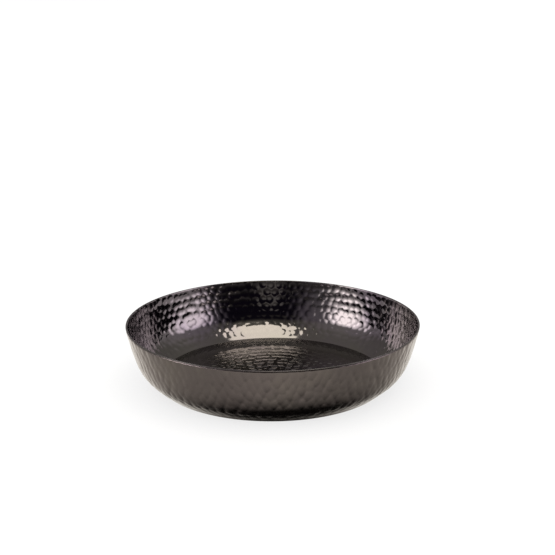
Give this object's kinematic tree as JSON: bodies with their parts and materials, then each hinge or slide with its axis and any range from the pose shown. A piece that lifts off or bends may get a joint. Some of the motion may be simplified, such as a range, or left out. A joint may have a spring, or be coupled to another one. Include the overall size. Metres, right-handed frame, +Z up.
{
  "type": "hammered bowl",
  "caption": "Shallow round hammered copper bowl with a flat bottom, curved walls, a plain flared rim and a dark polished lining.",
  "frame": {"origin": "middle of the flat bottom, on the surface that the bowl stands on", "axes": "+Z up along the bowl's axis, out of its mouth; X and Y lie in the plane of the table"},
  "size_m": [0.28, 0.28, 0.058],
  "materials": {
    "copper_shell": "aged copper, hammered, satin",
    "dark_lining": "dark mirror polish over hammer marks"
  },
  "bodies": {
    "root": {"outer_shell": "copper_shell", "inner_liner": "dark_lining"}
  },
  "joints": []
}
